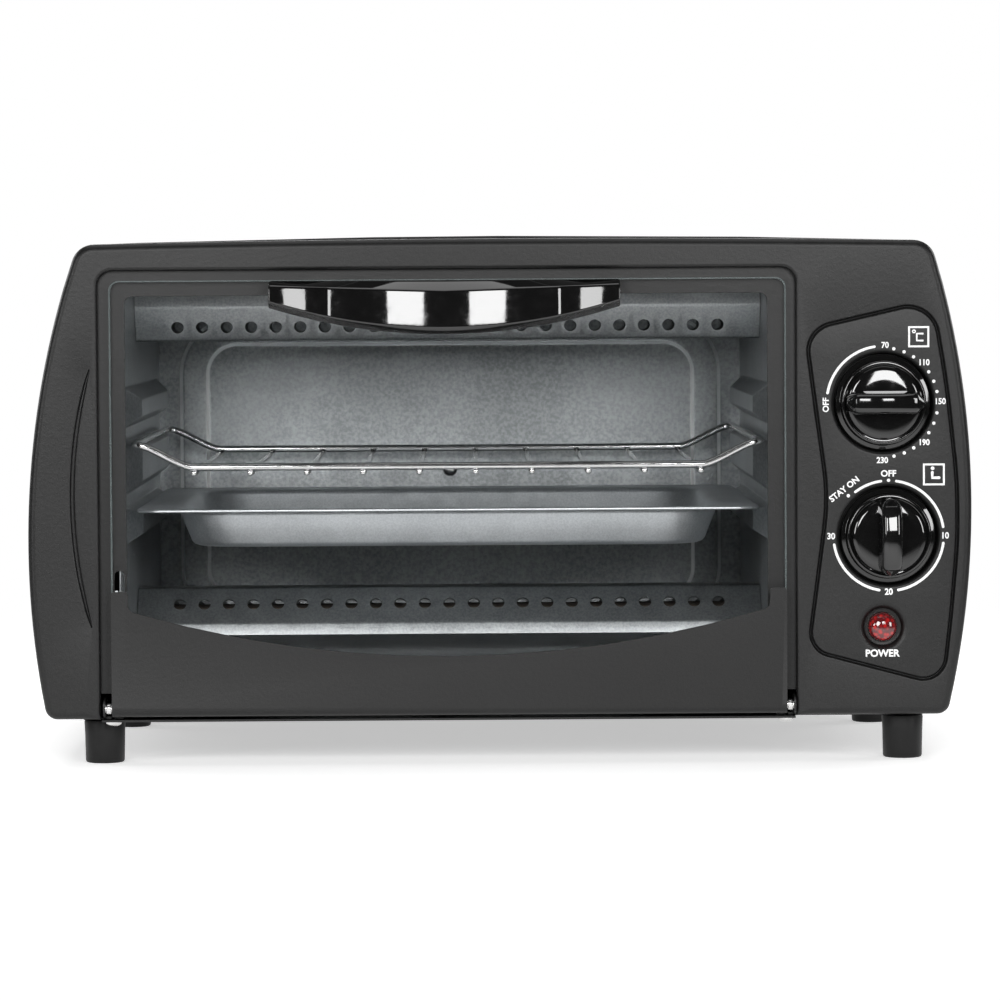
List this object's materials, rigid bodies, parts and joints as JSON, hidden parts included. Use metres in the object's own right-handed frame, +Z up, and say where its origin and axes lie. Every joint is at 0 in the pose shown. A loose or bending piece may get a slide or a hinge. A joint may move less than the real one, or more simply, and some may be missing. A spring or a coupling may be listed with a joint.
{
  "type": "toaster oven",
  "caption": "Table-top toaster oven: black steel body, drop-down glass door with bow handle, two turning knobs, pilot lamp, wire rack, baking tray and crumb tray.",
  "frame": {"origin": "on the table, under the middle of the oven's box", "axes": "+X to the right seen from the front, +Y to the back, +Z up; the door faces -Y"},
  "size_m": [0.3678, 0.283, 0.2059],
  "materials": {
    "black_paint": "matte black powder coat with a fine grain",
    "galvanised_steel": "plain galvanised sheet with a faint spangle",
    "aluminised_steel": "satin aluminised sheet",
    "bright_steel": "zinc-plated and bright",
    "chrome_wire": "polished chrome plate",
    "gloss_black": "high-gloss black moulding",
    "door_glass": "clear toughened glass with polished edges",
    "foot_rubber": "satin black rubber",
    "red_lens": "clear red moulded lens",
    "ceramic": "unglazed steatite",
    "heater_sheath": "heat-darkened steel sheath",
    "brass": "plain brass",
    "pale_nylon": "natural nylon moulding",
    "lead_sleeve": "woven glass sleeve over wire"
  },
  "bodies": {
    "body": {"front_panel": "black_paint", "outer_cover": "black_paint", "back_cover": "black_paint", "base_plate": "black_paint", "foot_front_left": "foot_rubber", "foot_rear_left": "foot_rubber", "foot_front_right": "foot_rubber", "foot_rear_right": "foot_rubber", "cavity_front_flange": "black_paint", "cavity_left_wall": "galvanised_steel", "cavity_right_wall": "galvanised_steel", "cavity_back_wall": "galvanised_steel", "cavity_roof": "galvanised_steel", "cavity_floor": "galvanised_steel", "cavity_back_screw": "bright_steel", "upper_element_guard": "aluminised_steel", "lower_element_guard": "aluminised_steel", "upper_heating_element": "heater_sheath", "upper_element_insulator_left": "ceramic", "upper_element_insulator_right": "ceramic", "lower_heating_element": "heater_sheath", "lower_element_insulator_left": "ceramic", "lower_element_insulator_right": "ceramic", "heat_shield": "galvanised_steel", "thermostat_body": "ceramic", "timer_body": "galvanised_steel", "timer_bell": "brass", "pilot_lamp_lens": "red_lens", "pilot_lamp_holder": "pale_nylon", "terminal_block": "pale_nylon", "cord_inlet": "foot_rubber", "lead_terminal_to_thermostat": "lead_sleeve", "lead_thermostat_to_timer": "lead_sleeve", "lead_timer_to_lower_element": "lead_sleeve", "lead_thermostat_to_upper_element": "lead_sleeve", "lead_timer_to_lamp": "lead_sleeve", "hinge_bracket_left": "black_paint", "hinge_bracket_right": "black_paint", "bracket_screw_left": "bright_steel", "bracket_screw_right": "bright_steel", "door_spring": "bright_steel"},
    "door": {"door_glass": "door_glass", "door_lower_rail": "black_paint", "door_handle": "gloss_black", "door_arm": "galvanised_steel", "handle_screw_left": "bright_steel", "handle_screw_right": "bright_steel", "hinge_pin_left": "bright_steel", "hinge_pin_right": "bright_steel"},
    "thermostat_dial": {"thermostat_knob": "gloss_black", "thermostat_shaft": "brass"},
    "timer_dial": {"timer_knob": "gloss_black", "timer_shaft": "brass"},
    "rack": {"wire_rack": "chrome_wire"},
    "tray": {"baking_tray": "aluminised_steel"},
    "crumb": {"crumb_tray": "galvanised_steel"}
  },
  "joints": [
    {"name": "door_hinge", "type": "hinge", "parent": "body", "child": "door", "pos_m": [0, -0.1095, 0.0225], "axis": [1, 0, 0], "range_deg": [0, 90]},
    {"name": "thermostat_turn", "type": "hinge", "parent": "body", "child": "thermostat_dial", "pos_m": [0.1493, -0.1105, 0.1401], "axis": [0, 1, 0], "range_deg": [0, 270]},
    {"name": "timer_turn", "type": "hinge", "parent": "body", "child": "timer_dial", "pos_m": [0.1513, -0.1105, 0.0882], "axis": [0, 1, 0], "range_deg": [-45, 270]},
    {"name": "rack_slide", "type": "slide", "parent": "body", "child": "rack", "axis": [0, -1, 0], "range_m": [-0.016, 0.005]},
    {"name": "tray_slide", "type": "slide", "parent": "body", "child": "tray", "axis": [0, -1, 0], "range_m": [-0.016, 0.009]},
    {"name": "crumb_tray_slide", "type": "slide", "parent": "body", "child": "crumb", "axis": [0, -1, 0], "range_m": [-0.004, 0.002]}
  ]
}
